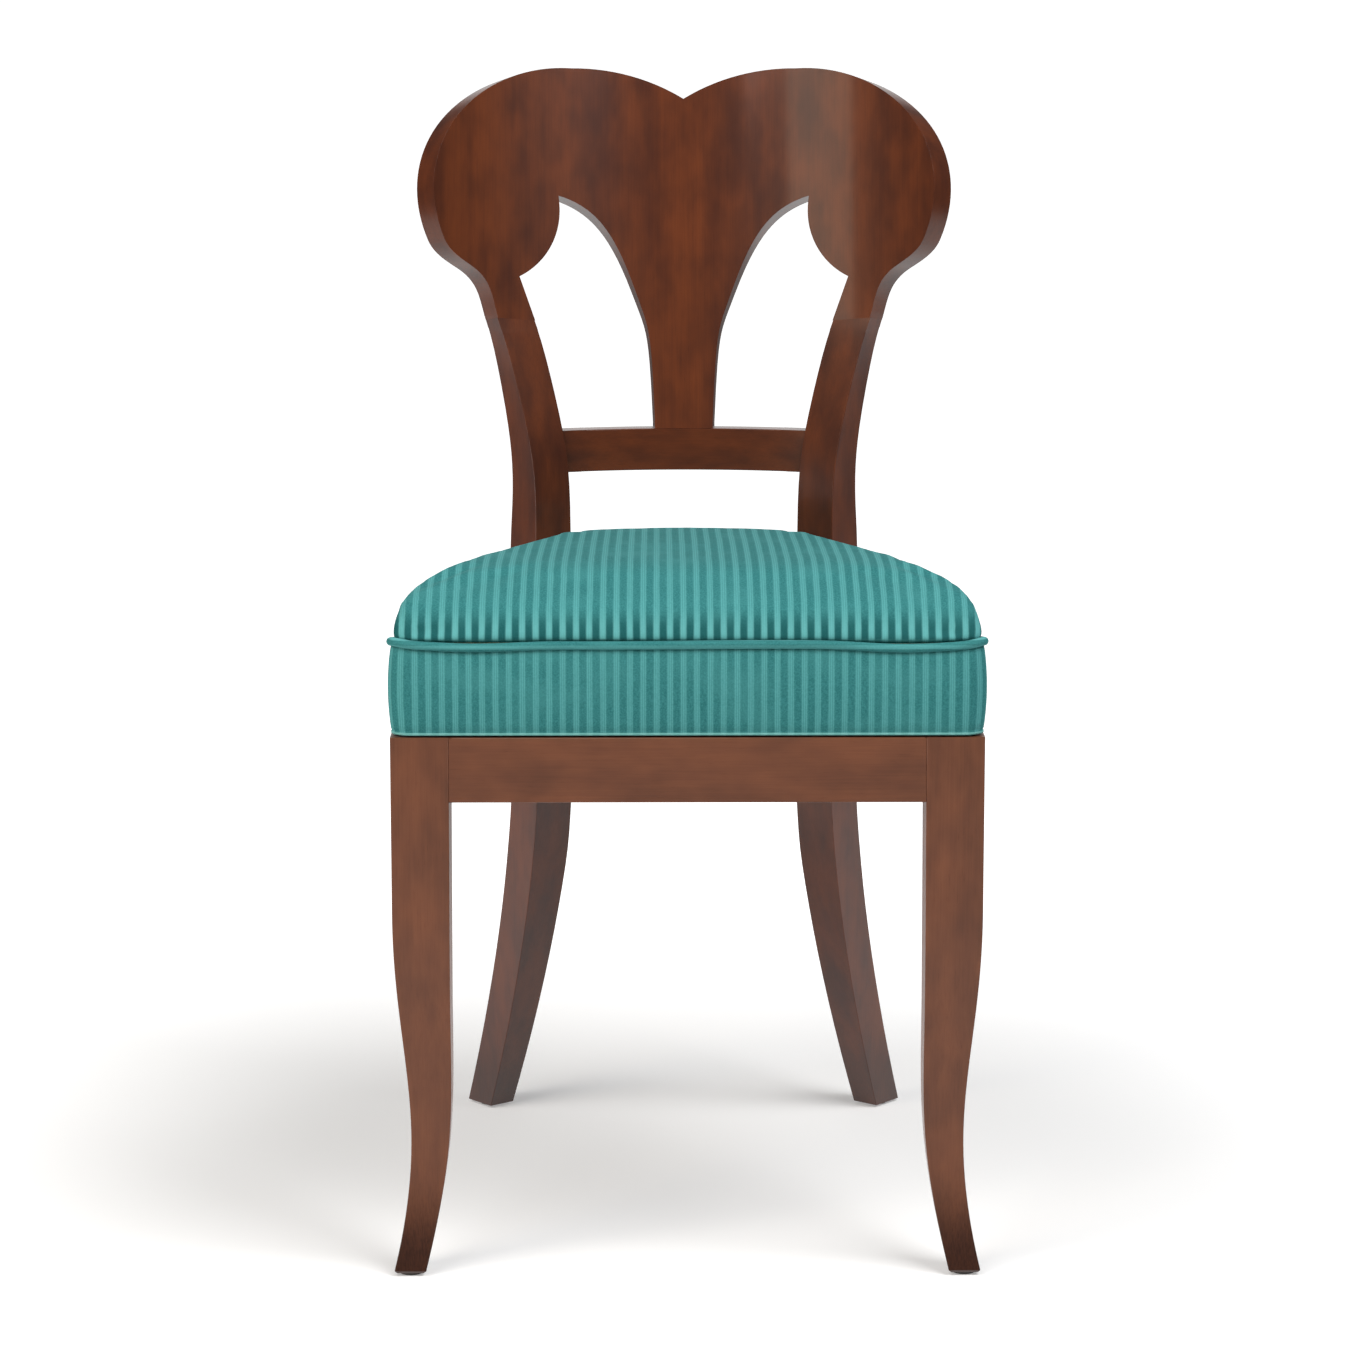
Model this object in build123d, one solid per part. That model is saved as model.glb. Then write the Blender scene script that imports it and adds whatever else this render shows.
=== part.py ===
from build123d import *
import os
from math import atan2, cos, degrees, radians, sin, sqrt, tan

# Driving dimensions, in millimetres and degrees.
# While it is drawn, the front of the seat rail is at Y = 0 and the floor at Z = 0.
front_width = 440.0        # across the outsides of the front legs
rail_top = 413.0           # top of the seat rails and of the front legs
rail_height = 49.0         # height of the seat rails
rail_thickness = 22.0      # front seat rail
side_rail_thickness = 20.0
leg_square = 43.5          # front leg at the seat, both ways
glide_height = 2.0         # glide under each foot
back_lean = 12.0           # lean of the back panel
back_radius = 280.0        # hollow of the back, seen from above
panel_thickness = 20.0     # back panel
panel_y = 474.0            # front of the panel on the centre line, at panel_z
panel_z = 694.0
post_turn = 40.0           # how far the back legs are turned about the vertical at the seat
post_turn_top = 30.0       # the same, where the posts meet the back panel
seat_front_height = 482.0  # middle of the piping
seat_crown_height = 528.0  # highest point of the seat
fit = 0.15                 # clearance round tenons, dowels and screws
overlap = 1.0              # how far a blank passes the face that it is cut back to

half_front = front_width / 2


def plan_direction(turn):
    """Unit vector in plan, turned from +X towards +Y."""
    return Vector(cos(radians(turn)), sin(radians(turn)), 0)


def right_of(left_piece):
    """The right-hand twin of a left-hand piece."""
    return mirror(left_piece, about=Plane.YZ)


# Front legs: square at the seat, then a sabre curve that flares out and forward at the toe
sweep_start = 279.0        # height where the outer face leaves the plumb line
waist_height = 88.0        # narrowest part of the outer curve
waist_inset = 11.5         # how far the outer face swings in there
toe_overhang = 1.1         # how far the toe passes the plumb line
toe_width = 24.0
calf_height = 204.0        # height where the inner face leaves the plumb line
calf_inset = 42.6
ankle_height = 100.0
ankle_inset = 40.4
toe_flare = (-0.25, -1.0)  # direction in which both faces reach the floor
foot_chamfer = 2.2


def sabre_face(plane):
    """One face of a front leg: across from the plumb outer face, and up."""
    toe_up = glide_height + foot_chamfer
    toe_out = (-toe_overhang, toe_up)
    toe_in = (toe_width - toe_overhang, toe_up)
    sole_out = (foot_chamfer - toe_overhang, glide_height)
    sole_in = (toe_width - toe_overhang - foot_chamfer, glide_height)
    ends = [(0, -1), toe_flare]
    outer = Spline((0, sweep_start), (waist_inset, waist_height), toe_out, tangents=ends)
    inner = Spline((calf_inset, calf_height), (ankle_inset, ankle_height), toe_in, tangents=ends)
    outline = [
        Line((leg_square, rail_top), (0, rail_top)),
        Line((0, rail_top), (0, sweep_start)),
        outer,
        Polyline(toe_out, sole_out, sole_in, toe_in),
        inner,
        Line((calf_inset, calf_height), (leg_square, rail_top)),
    ]
    return plane * make_face(outline)


def make_front_leg():
    corner = (-half_front, 0, 0)
    seen_from_front = sabre_face(Plane(corner, x_dir=(1, 0, 0), z_dir=(0, -1, 0)))
    seen_from_side = sabre_face(Plane(corner, x_dir=(0, 1, 0), z_dir=(1, 0, 0)))
    reach = leg_square + toe_overhang
    front_view = extrude(seen_from_front, amount=reach, both=True)
    side_view = extrude(seen_from_side, amount=reach, both=True)
    return front_view & side_view


# Back legs: leg and post in one piece, a long curve that is upright at the seat,
# sweeps out and back to the foot, and again to the back panel
post_front = Vector(-123.3, 408.0, 0)   # front outer edge at the seat
post_width = 37.7                       # across the front face at the seat
post_depth = 35.3                       # front to back at the seat
foot_sweep = 81.8                       # sweep of the foot
foot_turn = 83.0                        # its direction, from the front face of the leg
foot_width = 24.5
foot_depth = 32.0
lower_knee = 304.0                      # the leg is upright between the knees
upper_knee = 549.0
post_top_height = 692.0                 # front outer edge at the joint with the panel
post_top_out = 31.5                     # outward sweep there
post_top_back = 17.0                    # backward sweep there
post_top_width = 33.7
post_top_flare = 3.6                    # turn of the side faces there, to follow the stub
leg_bend = 1.57                         # how late each curve bends
post_bend = 1.42
taper_start = 234.0                     # the leg narrows below this height
thinning_start = 494.0                  # the post thins above this height
section_spacing = 34.0


def post_section(height):
    """Front outer edge, turn, width and depth of the left back leg at a height."""
    turn = post_turn
    edge = Vector(post_front)
    width = post_width
    depth = post_depth
    if height < lower_knee:
        swept = foot_sweep * ((lower_knee - height) / lower_knee) ** leg_bend
        edge += plan_direction(post_turn + foot_turn) * swept
    if height < taper_start:
        share = (taper_start - height) / taper_start
        width += (foot_width - post_width) * share
        depth += (foot_depth - post_depth) * share
    if height > upper_knee:
        rise = (height - upper_knee) / (post_top_height - upper_knee)
        ease = min(rise, 1) ** 2 * (3 - 2 * min(rise, 1))
        edge += Vector(-post_top_out * rise ** post_bend, post_top_back * ease, 0)
        turn += (post_turn_top - post_turn) * rise
    if height > thinning_start:
        share = (height - thinning_start) / (post_top_height - thinning_start)
        width += (post_top_width - post_width) * share
        depth += (panel_thickness - post_depth) * share
    return edge, turn, width, depth


def post_outline(height):
    """Level section of the left back leg."""
    edge, turn, width, depth = post_section(height)
    flare = post_top_flare * max(0, (height - upper_knee) / (post_top_height - upper_knee))
    outer = edge + Vector(0, 0, height)
    inner = outer + plan_direction(turn) * width
    outer_back = outer + plan_direction(turn + 90 + flare) * depth
    inner_back = inner + plan_direction(turn + 90 - flare) * depth
    corners = [outer, inner, inner_back, outer_back]
    return make_face(Polyline(*corners, close=True))


def make_back_leg():
    top = post_top_height + section_spacing / 2
    spans = round((top - glide_height) / section_spacing)
    heights = [glide_height + (top - glide_height) * i / spans for i in range(spans + 1)]
    leg = loft([post_outline(height) for height in heights])
    return leg - panel_joint_cutter()


# Back panel: crest and splat in one curved board, leaning back, with two round lobes,
# a V notch between them and a short stub under each lobe that stands on a post
lobe_radius = 111.2
lobe_across = 94.0         # middle of each lobe
lobe_up = 89.0             # up the board, from panel_z
lobe_mid_turn = 40.0       # a point on the lobe's outer side
lobe_end_turn = -22.0      # where the lobe's arc ends
notch_up = 177.5           # bottom of the V notch
notch_shoulder = (48.0, 197.0)
stub_shoulder = (176.0, 27.5)
stub_bend = (163.2, 15.0)
stub_outer = 154.0
stub_inner = 123.8
stub_end = -14.0           # joint of stub and post
lobe_corner = (136.6, 22.0)
lobe_inside = (112.6, 46.0)
cusp_side = (103.8, 84.0)
cusp = (104.6, 92.0)
splat_shoulder = (64.6, 65.0)
splat_neck = (37.8, 6.7)
splat_half = 24.3          # half width of the splat at its foot
splat_straight = -94.0     # the splat's sides are straight below this
splat_end = -118.0         # before it is cut level on the lower rail
hollow_reach = 0.8 * back_radius  # past the forward ends of the lobes
shoulder_slope = (-0.85, -0.5)
stub_slope = (-0.3, -0.95)
cusp_slope = (-1, -0.25)
splat_slope = (-0.04, -1)

panel_plane = Plane(
    (0, panel_y, panel_z),
    x_dir=(1, 0, 0),
    z_dir=(0, -cos(radians(back_lean)), sin(radians(back_lean))),
)


def lobe_point(turn):
    """Point on the right lobe's arc, turned up from its outer side."""
    return (lobe_across + lobe_radius * cos(radians(turn)), lobe_up + lobe_radius * sin(radians(turn)))


def panel_outline():
    """Front view of the board on its leaning plane."""
    lobe_top = lobe_point(90)
    lobe_end = lobe_point(lobe_end_turn)
    lobe_slope = (sin(radians(lobe_end_turn)), -cos(radians(lobe_end_turn)))
    splat_side = (splat_half, splat_straight)
    splat_foot = (splat_half, splat_end)
    right = [
        ThreePointArc((0, notch_up), notch_shoulder, lobe_top),
        ThreePointArc(lobe_top, lobe_point(lobe_mid_turn), lobe_end),
        Spline(lobe_end, stub_shoulder, tangents=[lobe_slope, shoulder_slope]),
        Spline(stub_shoulder, stub_bend, (stub_outer, stub_end), tangents=[shoulder_slope, stub_slope]),
        Line((stub_outer, stub_end), (stub_inner, stub_end)),
        Line((stub_inner, stub_end), lobe_corner),
        ThreePointArc(lobe_corner, lobe_inside, cusp_side),
        Line(cusp_side, cusp),
        Spline(cusp, splat_shoulder, splat_neck, splat_side, tangents=[cusp_slope, splat_slope]),
        Polyline(splat_side, splat_foot, (0, splat_end)),
    ]
    left = [mirror(edge, about=Plane.YZ) for edge in right]
    return panel_plane * make_face(right + left)


def make_back_panel():
    barrel = Cylinder(back_radius, 4 * lobe_radius + abs(splat_end) * 2)
    barrel = panel_plane * Pos(0, 0, back_radius) * Rot(X=90) * barrel
    hollow_face = barrel.faces().filter_by(GeomType.CYLINDER)[0]
    cutter = extrude(panel_outline(), amount=hollow_reach)
    cutter += extrude(panel_outline(), amount=-overlap)
    front_face = hollow_face & cutter
    panel = thicken(front_face.faces()[0], amount=panel_thickness, normal_override=(0, 1, 0))
    under = (Align.CENTER, Align.CENTER, Align.MAX)
    below_rail = Box(4 * splat_half, 4 * back_radius, -4 * splat_end, align=under)
    return panel - Pos(0, 0, lower_rail_top) * below_rail


def panel_joint_cutter():
    """Everything above the joint between stub and post."""
    above = (Align.CENTER, Align.MIN, Align.CENTER)
    block = Box(front_width, front_width, front_width, align=above)
    return panel_plane * Pos(0, stub_end, 0) * block


dowel_radius = 3.0
dowel_length = 30.0
dowel_sides = 10
dowel_across = (134.0, 145.0)   # two dowels in each stub


def panel_dowels(clearance=0.0):
    """Dowels between the stubs and the posts, or the holes for them."""
    middle = back_radius + panel_thickness / 2
    section = RegularPolygon(dowel_radius + clearance, dowel_sides)
    dowel = extrude(section, amount=dowel_length / 2 + 2 * clearance, both=True)
    left = [
        panel_plane * Pos(-x, stub_end, back_radius - sqrt(middle ** 2 - x ** 2)) * Rot(X=90) * dowel
        for x in dowel_across
    ]
    return left + [right_of(dowel) for dowel in left]


# Rails: each ends in tenons that sit in mortises in the legs
tenon_thickness = 9.0
tenon_height = 34.0
front_tenon = 20.0
side_tenon = 15.0
back_tenon = 10.0
back_tenon_inset = 18.0        # from the posts' front faces to the middle of the tenons
lower_tenon_inset = 13.0
side_rail_inset = 1.5          # from the legs' outer faces to the side rails
rail_middle = rail_top - rail_height / 2
curved_rail_thickness = 20.0
seat_rail_y = 452.0            # front of the back seat rail on the centre line
lower_rail_top = 595.0
lower_rail_height = 35.0
lower_rail_y = panel_y - (panel_z - lower_rail_top) * tan(radians(back_lean))
lower_rail_middle = lower_rail_top - lower_rail_height / 2
lower_tenon_height = 22.0
rail_half_span = 112.5         # past the inner faces of the posts
tongue_width = 36.0            # tongue under the splat
tongue_depth = 10.0


def tenon(middle, turn, length, height, clearance=0.0):
    """A tenon that runs both ways from the joint, along a direction in plan."""
    grown = 2 * clearance
    block = Box(2 * length + grown, tenon_thickness + grown, height + grown)
    return Location(middle) * Rot(Z=turn) * block


def front_rail_tenon(clearance=0.0):
    joint = (leg_square - half_front, rail_thickness / 2, rail_middle)
    return tenon(joint, 0, front_tenon, tenon_height, clearance)


def make_front_rail(legs):
    span = front_width - 2 * leg_square + 2 * overlap
    body = Box(span, rail_thickness, rail_height, align=(Align.CENTER, Align.MIN, Align.MAX))
    rail = Pos(0, 0, rail_top) * body
    for leg in legs:
        rail -= leg
    left = front_rail_tenon()
    return rail + left + right_of(left)


side_start = Vector(side_rail_inset - half_front, leg_square, 0)
side_end = post_front + plan_direction(post_turn) * side_rail_inset
side_turn = degrees(atan2(side_end.Y - side_start.Y, side_end.X - side_start.X))
side_inward = plan_direction(side_turn - 90)


def side_rail_tenons(clearance=0.0):
    """Tenons of the left side rail, into the front leg and into the post."""
    half = side_inward * (side_rail_thickness / 2)
    slant = side_rail_thickness / 2 / tan(radians(side_turn - post_turn))
    front = side_start + half + Vector(0, 0, rail_middle)
    back = side_end + half + plan_direction(side_turn) * slant + Vector(0, 0, rail_middle)
    return [tenon(joint, side_turn, side_tenon, tenon_height, clearance) for joint in (front, back)]


def make_side_rail(front_leg, back_leg):
    reach = side_rail_thickness / tan(radians(side_turn - post_turn)) + overlap
    length = (side_end - side_start).length
    ahead = plan_direction(side_turn) * -reach
    from_corner = (Align.MIN, Align.MAX, Align.MAX)
    body = Box(length + 2 * reach, side_rail_thickness, rail_height, align=from_corner)
    rail = Location(side_start + ahead + Vector(0, 0, rail_top)) * Rot(Z=side_turn) * body
    behind = (Align.CENTER, Align.MIN, Align.CENTER)
    behind_leg = Box(2 * front_width, 2 * length, front_width, align=behind)
    rail &= Pos(0, leg_square - overlap, rail_top) * behind_leg
    rail = rail - front_leg - back_leg
    for end in side_rail_tenons():
        rail += end
    return rail


def arc_rail(front_y, top, height):
    """A level rail that follows the hollow of the back."""
    ring = Cylinder(back_radius + curved_rail_thickness, height) - Cylinder(back_radius, height)
    ring = Pos(0, front_y - back_radius, top - height / 2) * ring
    window = Box(2 * rail_half_span, back_radius, height)
    return ring & Pos(0, front_y, top - height / 2) * window


def arc_rail_tenon(height, inset, tall, clearance=0.0):
    """Tenon at the left end of an arc rail, square to the inner face of the post."""
    edge, turn, width, depth = post_section(height)
    joint = edge + plan_direction(turn) * width + plan_direction(turn + 90) * inset
    return tenon(joint + Vector(0, 0, height), turn, back_tenon, tall, clearance)


def back_rail_tenon(clearance=0.0):
    return arc_rail_tenon(rail_middle, back_tenon_inset, tenon_height, clearance)


def lower_rail_tenon(clearance=0.0):
    return arc_rail_tenon(lower_rail_middle, lower_tenon_inset, lower_tenon_height, clearance)


def make_arc_rail(front_y, top, height, left_tenon, posts):
    rail = arc_rail(front_y, top, height)
    for post in posts:
        rail -= post
    return rail + left_tenon + right_of(left_tenon)


def splat_tongue(clearance=0.0):
    """Tongue under the splat, or the slot for it in the lower rail."""
    grown = 2 * clearance
    block = Box(tongue_width + grown, tenon_thickness + grown, 2 * tongue_depth + grown)
    return Pos(0, lower_rail_y + curved_rail_thickness / 2, lower_rail_top) * block


# Corner blocks inside the seat rails, each held by a screw into both rails
block_height = 30.0
block_drop = 10.0              # below the top of the rails
block_top = rail_top - block_drop
screw_radius = 2.0
screw_head_radius = 4.0
screw_head_height = 2.6
screw_tip = 0.3
screw_sides = 6


def screw(length, clearance=0.0):
    """Countersunk wood screw, pointing up, with its head level with the origin."""
    shank = screw_radius + clearance
    rings = [
        (screw_head_radius + clearance, 0),
        (shank, screw_head_height),
        (shank, length - screw_head_height),
        (screw_tip, length + clearance),
    ]
    sections = [Pos(0, 0, height) * RegularPolygon(radius, screw_sides) for radius, height in rings]
    return loft(sections, ruled=True)


def plan_block(corners):
    """A glue block of the given plan."""
    outline = make_face(Polyline(*corners, close=True))
    return extrude(Pos(0, 0, block_top - block_height) * outline, amount=block_height)


front_block_plan = [(-112, rail_thickness - 2), (-200, rail_thickness - 2), (-192, 115)]
back_block_plan = [(-130, 335), (-115, 428), (-55, 452)]
block_screw_height = block_top - block_height / 2
counterbore_depth = 14.0


def level_screw(point, turn, length, clearance=0.0):
    """A level screw whose head is at a point in plan, or the counterbored hole for it."""
    place = Plane((point[0], point[1], block_screw_height), z_dir=plan_direction(turn))
    shape = screw(length, clearance)
    if clearance:
        mouth = RegularPolygon(screw_head_radius + clearance, screw_sides)
        shape += extrude(mouth, amount=-counterbore_depth)
    return place * shape


def block_screws(clearance=0.0):
    """Two screws through each left corner block: into the front or back rail, and the side rail."""
    places = [
        ((-140, 46), -90, 36),
        ((-164, 75), side_turn + 90, 36),
        ((-97, 388), side_turn + 90, 24),
        ((-75, 426), 100, 30),
    ]
    return [level_screw(point, turn, length, clearance) for point, turn, length in places]


# Loose seat: a frame of four members, webbing, hessian, foam and a boxed cover
seat_half_front = 223.2
seat_front_y = 0.7
seat_gap = 4.2                 # between the cover and the posts
seat_past_post = 3.0           # how far the side corners pass the posts' outer edges
seat_corner = 16.0             # rounding of the front corners
seat_side_corner = 14.0
seat_middle_y = 215.0          # the crown rises towards this line
boxing_bulge = 3.0
boxing_steps = 4
padding = 4.6                  # cover with its wadding
padding_steps = 4              # straight steps in each round stretch of the padding
piping_radius = 3.2
piping_inset = 1.2
piping_gap = 0.1               # between the piping and the cover above and below it
piping_turns = (-67.5, -22.5, 22.5, 67.5)  # corners of its section, from the outer side up
lip_height = 1.2               # cover turned under the seat
lip_width = 16.0
frame_gap = 0.2                # between the frame and the cover
frame_height = 20.0
frame_width = 46.0
frame_split_front = 50.0
frame_split_back = 372.0

seat_bottom = rail_top
frame_bottom = seat_bottom + lip_height
frame_top = frame_bottom + frame_height


def seat_plan(inset=0.0, corner=seat_corner):
    """Outline of the seat: a front edge, two straight sides, the posts' front faces, a bowed back."""
    forward = plan_direction(post_turn - 90) * seat_gap
    post_outer = post_front + forward - plan_direction(post_turn) * seat_past_post
    post_inner = post_front + forward + plan_direction(post_turn) * post_width
    right = [(seat_half_front, seat_front_y), (-post_outer.X, post_outer.Y), (-post_inner.X, post_inner.Y)]
    left = [(-x, y) for x, y in reversed(right)]
    bow = (0, post_inner.Y - post_inner.X * tan(radians(post_turn / 2)))
    edges = [
        Polyline(*left, *right),
        ThreePointArc(right[-1], bow, left[0]),
    ]
    plan = make_face(edges)
    plan = fillet(plan.vertices().group_by(Axis.Y)[1], seat_side_corner)
    plan = fillet(plan.vertices().group_by(Axis.Y)[0], corner)
    return offset(plan, amount=-inset) if inset else plan


def layer(bottom, top, inset=0.0):
    """A flat layer of the seat."""
    return extrude(Pos(0, 0, bottom) * seat_plan(inset), amount=top - bottom)


def padded_points(inset=0.0, corner=seat_corner):
    """Outline of the padding: the seat's outline with its round stretches in short straight steps."""
    outline = seat_plan(inset, corner).wire()
    points = []
    walked = 0.0
    for edge in outline.order_edges():
        steps = 1 if edge.geom_type == GeomType.LINE else padding_steps
        points += [outline @ ((walked + edge.length * i / steps) / outline.length) for i in range(steps)]
        walked += edge.length
    return points


def padded_plan(inset=0.0):
    return make_face(Polyline(*padded_points(inset), close=True))


crown_base = seat_front_height + piping_radius + piping_gap
crown_rise = seat_crown_height - crown_base
crown_side_reach = 0.28        # where the dome levels off at the sides, as a share of the plan
crown_end_reach = 0.7          # and at front and back
crown_corner = 28.0            # how much rounder the corners are there
crown_share = 0.95             # how much of the rise is reached there
crown_power = 2.1              # fullness of the dome; 2 is an ellipse
crown_tilt = 2.2               # fall of the top towards the back
crown_steps = (0, 0.04, 0.18, 0.5, 1.0)
crown_middle = 0.1             # size of the level middle, as a share of the last step


def crown_section(points, across, along, height, tilt):
    """The padding's outline drawn towards the middle of the seat, lifted and tilted."""
    drawn_in = [(point.X * across, (point.Y - seat_middle_y) * along) for point in points]
    place = Pos(0, seat_middle_y, crown_base + height) * Rot(X=-tilt)
    return place * make_face(Polyline(*drawn_in, close=True))


def crown():
    """Domed top of the seat over its outline."""
    sections = []
    for step in crown_steps:
        points = padded_points(corner=seat_corner + crown_corner * step)
        across = 1 - crown_side_reach * step
        along = 1 - crown_end_reach * step
        share = crown_share * (1 - (1 - step) ** crown_power) ** (1 / crown_power)
        sections.append(crown_section(points, across, along, share * crown_rise, share * crown_tilt))
    across *= crown_middle
    along *= crown_middle
    sections.append(crown_section(points, across, along, crown_rise, crown_tilt))
    return loft(sections, ruled=True)


def make_boxing():
    """Side band of the cover, with the lip that is turned under the seat."""
    top = seat_front_height - piping_radius - piping_gap
    sections = []
    for step in range(boxing_steps + 1):
        share = step / boxing_steps
        swell = boxing_bulge * 4 * share * (1 - share)
        sections.append(Pos(0, 0, seat_bottom + share * (top - seat_bottom)) * padded_plan(-swell))
    band = loft(sections, ruled=True) - layer(frame_bottom, top + overlap, padding)
    return band - layer(seat_bottom - overlap, frame_bottom, lip_width)


def make_piping():
    """Cord between the top and the side band: an outer ring less an inner one."""
    rings = []
    for side in (-1, 1):
        sections = []
        for turn in piping_turns:
            inset = piping_inset + side * piping_radius * cos(radians(turn))
            height = seat_front_height + piping_radius * sin(radians(turn))
            sections.append(Pos(0, 0, height) * padded_plan(inset))
        rings.append(loft(sections, ruled=True))
    outer, inner = rings
    return outer - inner


def side_half_width(y):
    """Half width of the seat rails at a distance back from the front."""
    share = (y - side_start.Y) / (side_end.Y - side_start.Y)
    return -(side_start.X + share * (side_end.X - side_start.X))


def make_seat_frame():
    """Front, left, right and back members of the loose seat frame."""
    board = layer(frame_bottom, frame_top, padding + frame_gap)
    right = [(side_half_width(y) - frame_width, y) for y in (frame_split_front, frame_split_back)]
    left = [(-x, y) for x, y in reversed(right)]
    window = make_face(Polyline(*right, *left, close=True))
    ring = board - extrude(Pos(0, 0, frame_bottom) * window, amount=frame_height)
    span = 2 * front_width
    ahead = Box(span, span, span, align=(Align.CENTER, Align.MAX, Align.CENTER))
    front = ring & Pos(0, frame_split_front, 0) * ahead
    back = ring - Pos(0, frame_split_back, 0) * ahead
    sides = ring - front - back
    left, right = sides.solids().sort_by(Axis.X)
    return {"front": front, "left": left, "right": right, "back": back}


strap_width = 45.0
strap_thickness = 1.6
strap_ramp = 6.0               # where a strap starts to rise, beside the one that it crosses
strap_lead = 1.0               # where it has risen
strap_gap = 0.1
lengthwise_x = (-90.0, -30.0, 30.0, 90.0)
crosswise_y = (105.0, 195.0, 285.0)
strap_front_y = 22.0
strap_back_y = 398.0
strap_side_gap = 28.0          # from the seat's edge to the ends of the crosswise straps


def strap_profile(start, end, raised):
    """Side view of a strap that lies flat and lifts over the straps that it crosses."""
    low = frame_top
    high = frame_top + strap_thickness + strap_gap
    points = [(start, low)]
    for middle in raised:
        half = strap_width / 2
        points += [(middle - half - strap_ramp, low), (middle - half - strap_lead, high)]
        points += [(middle + half + strap_lead, high), (middle + half + strap_ramp, low)]
    points.append((end, low))
    lifted = [(along, height + strap_thickness) for along, height in reversed(points)]
    return make_face(Polyline(*points, *lifted, close=True))


def lengthwise_straps():
    straps = []
    for i, x in enumerate(lengthwise_x):
        raised = [y for j, y in enumerate(crosswise_y) if (i + j) % 2 == 0]
        side_view = Plane((x, 0, 0), x_dir=(0, 1, 0), z_dir=(1, 0, 0))
        profile = strap_profile(strap_front_y, strap_back_y, raised)
        straps.append(extrude(side_view * profile, strap_width / 2, both=True))
    return straps


def crosswise_straps():
    straps = []
    for j, y in enumerate(crosswise_y):
        half = side_half_width(y + strap_width / 2) - strap_side_gap
        raised = [x for i, x in enumerate(lengthwise_x) if (i + j) % 2 == 1]
        front_view = Plane((0, y, 0), x_dir=(1, 0, 0), z_dir=(0, -1, 0))
        profile = strap_profile(-half, half, raised)
        straps.append(extrude(front_view * profile, strap_width / 2, both=True))
    return straps


tack_head = (3.0, 0.8)         # radius and height
tack_sides = 6
tack_pin = (1.6, 9.0)          # width at the head, length
tack_taper = 4.0
tack_edge = 9.0                # from the ends of the straps
tack_spread = 14.0             # to each side of a strap's middle


def tack(point):
    """Cut upholstery tack with a square pin, pointing down."""
    radius, height = tack_head
    root, length = tack_pin
    head = extrude(RegularPolygon(radius, tack_sides), amount=height)
    pin = extrude(Rectangle(root, root), amount=-length, taper=tack_taper)
    return Location(point) * (head + pin)


def webbing_tacks():
    """Two tacks through each end of each strap."""
    top = frame_top + strap_thickness
    tacks = []
    for x in lengthwise_x:
        for y in (strap_front_y + tack_edge, strap_back_y - tack_edge):
            tacks += [tack((x + side, y, top)) for side in (-tack_spread, tack_spread)]
    for y in crosswise_y:
        half = side_half_width(y + strap_width / 2) - strap_side_gap - tack_edge
        for x in (-half, half):
            tacks += [tack((x, y + side, top)) for side in (-tack_spread, tack_spread)]
    return tacks


hessian_gap = 1.0              # above the webbing
hessian_bottom = frame_top + 2 * strap_thickness + hessian_gap
hessian_thickness = 0.8
hessian_inset = 4.0
foam_bottom = hessian_bottom + hessian_thickness
foam_gap = 1.0
pad_rise = 16.0                # crown pad on the foam, under the wadding
pad_inset = 26.0
dust_gap = 0.4


def padded_layer(bottom, top, inset):
    """A flat layer of the padding."""
    return extrude(Pos(0, 0, bottom) * padded_plan(inset), amount=top - bottom)


def make_foam():
    """A slab of foam with a smaller crown pad on it."""
    slab_top = crown_base - piping_gap
    slab = padded_layer(foam_bottom, slab_top, padding + foam_gap)
    return slab + padded_layer(slab_top, crown_base + pad_rise, pad_inset)


def make_cover_top():
    hollow_top = crown_base + pad_rise + foam_gap
    return crown() - padded_layer(crown_base - overlap, hollow_top, pad_inset - foam_gap)


seat_screw_length = 40.0
seat_screw_places = [(-152.0, 44.0), (-98.0, 405.0)]


def seat_screws(clearance=0.0):
    """Screws up through the corner blocks into the loose seat frame."""
    bottom = block_top - block_height
    left = [Pos(x, y, bottom) * screw(seat_screw_length, clearance) for x, y in seat_screw_places]
    return left + [right_of(one) for one in left]


# Glides: a round pad under each foot
glide_radius = 8.5
glide_sides = 16


def foot_middles():
    edge, turn, width, depth = post_section(glide_height)
    back = edge + plan_direction(turn) * (width / 2) + plan_direction(turn + 90) * (depth / 2)
    across = toe_width / 2 - toe_overhang
    left = [(across - half_front, across), (back.X, back.Y)]
    return left + [(-x, y) for x, y in left]


def make_glides():
    pad = extrude(RegularPolygon(glide_radius, glide_sides), amount=glide_height)
    return [Pos(x, y, 0) * pad for x, y in foot_middles()]


def cut_by(piece, cutters):
    for cutter in cutters:
        piece -= cutter
    return piece


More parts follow.
